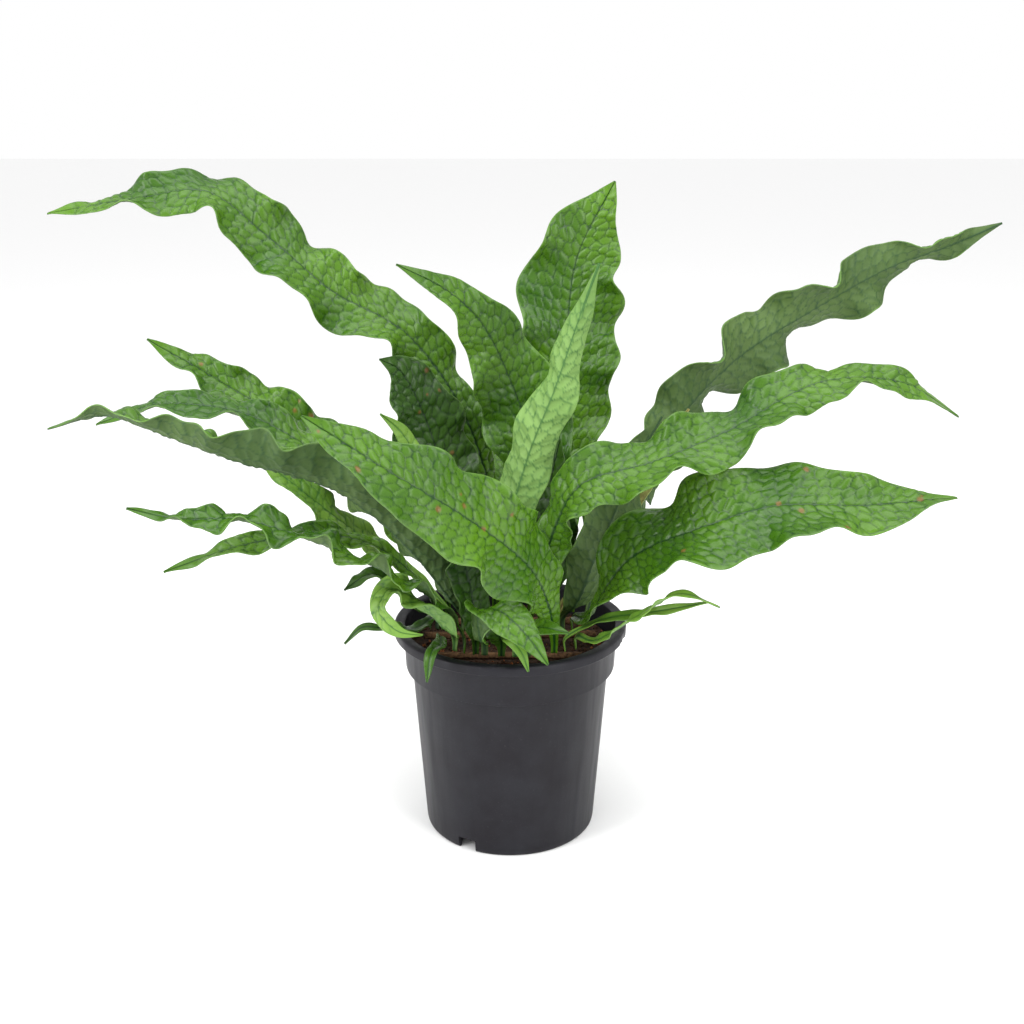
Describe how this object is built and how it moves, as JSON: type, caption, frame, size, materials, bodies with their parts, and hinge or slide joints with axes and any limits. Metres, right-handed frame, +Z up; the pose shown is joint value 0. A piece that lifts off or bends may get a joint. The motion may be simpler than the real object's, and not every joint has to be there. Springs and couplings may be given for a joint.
{
  "type": "potted crocodile fern",
  "caption": "Crocodile fern with long wavy strap-shaped fronds, growing from creeping rootstock in peat in a plain black plastic nursery pot.",
  "frame": {"origin": "middle of the pot's base, on the surface that the pot stands on", "axes": "+Z up; +X to the right and +Y away, seen from the side that the broad front frond leans towards"},
  "size_m": [0.6753, 0.3885, 0.4762],
  "materials": {
    "pot_plastic": "near-black moulded plastic with a soft satin sheen",
    "peat": "dark brown crumbly peat with lighter fibres",
    "rootstock": "brown scaly creeping rootstock",
    "frond_mature": "glossy green upper side with raised cells between dark veins, matte grey-green underside",
    "frond_young": "pale yellow-green young frond, softly glossy",
    "frond_yellowing": "yellowing old frond, matte"
  },
  "bodies": {
    "root": {"pot": "pot_plastic", "potting_soil": "peat", "rootstock_back": "rootstock", "rootstock_middle": "rootstock", "rootstock_front": "rootstock", "frond_left_high": "frond_mature", "frond_left_second": "frond_mature", "frond_left_third": "frond_mature", "frond_left_long": "frond_mature", "frond_left_wavy": "frond_mature", "frond_left_low": "frond_mature", "frond_left_pale": "frond_young", "frond_left_dark": "frond_mature", "frond_left_curl": "frond_young", "frond_left_ribbon": "frond_mature", "frond_left_hook": "frond_mature", "frond_sweeping": "frond_mature", "frond_front_bright": "frond_mature", "frond_front_dark": "frond_mature", "frond_front_small": "frond_mature", "frond_front_hook": "frond_young", "frond_right_thin": "frond_young", "frond_right_slim": "frond_young", "frond_right_bright": "frond_mature", "frond_right_arching": "frond_mature", "frond_right_high": "frond_mature", "frond_right_yellow": "frond_yellowing", "frond_centre_pale": "frond_young", "frond_centre_broad": "frond_mature", "frond_centre_tall": "frond_mature", "frond_inner_left": "frond_mature", "frond_inner_slim": "frond_young", "frond_right_folded": "frond_mature", "frond_centre_dark": "frond_mature", "frond_middle_dark": "frond_mature", "frond_left_inner": "frond_mature", "frond_back_left": "frond_mature", "frond_back_middle": "frond_mature", "frond_back_right": "frond_mature", "frond_back_low_left": "frond_mature", "frond_back_low_right": "frond_mature"}
  },
  "joints": []
}
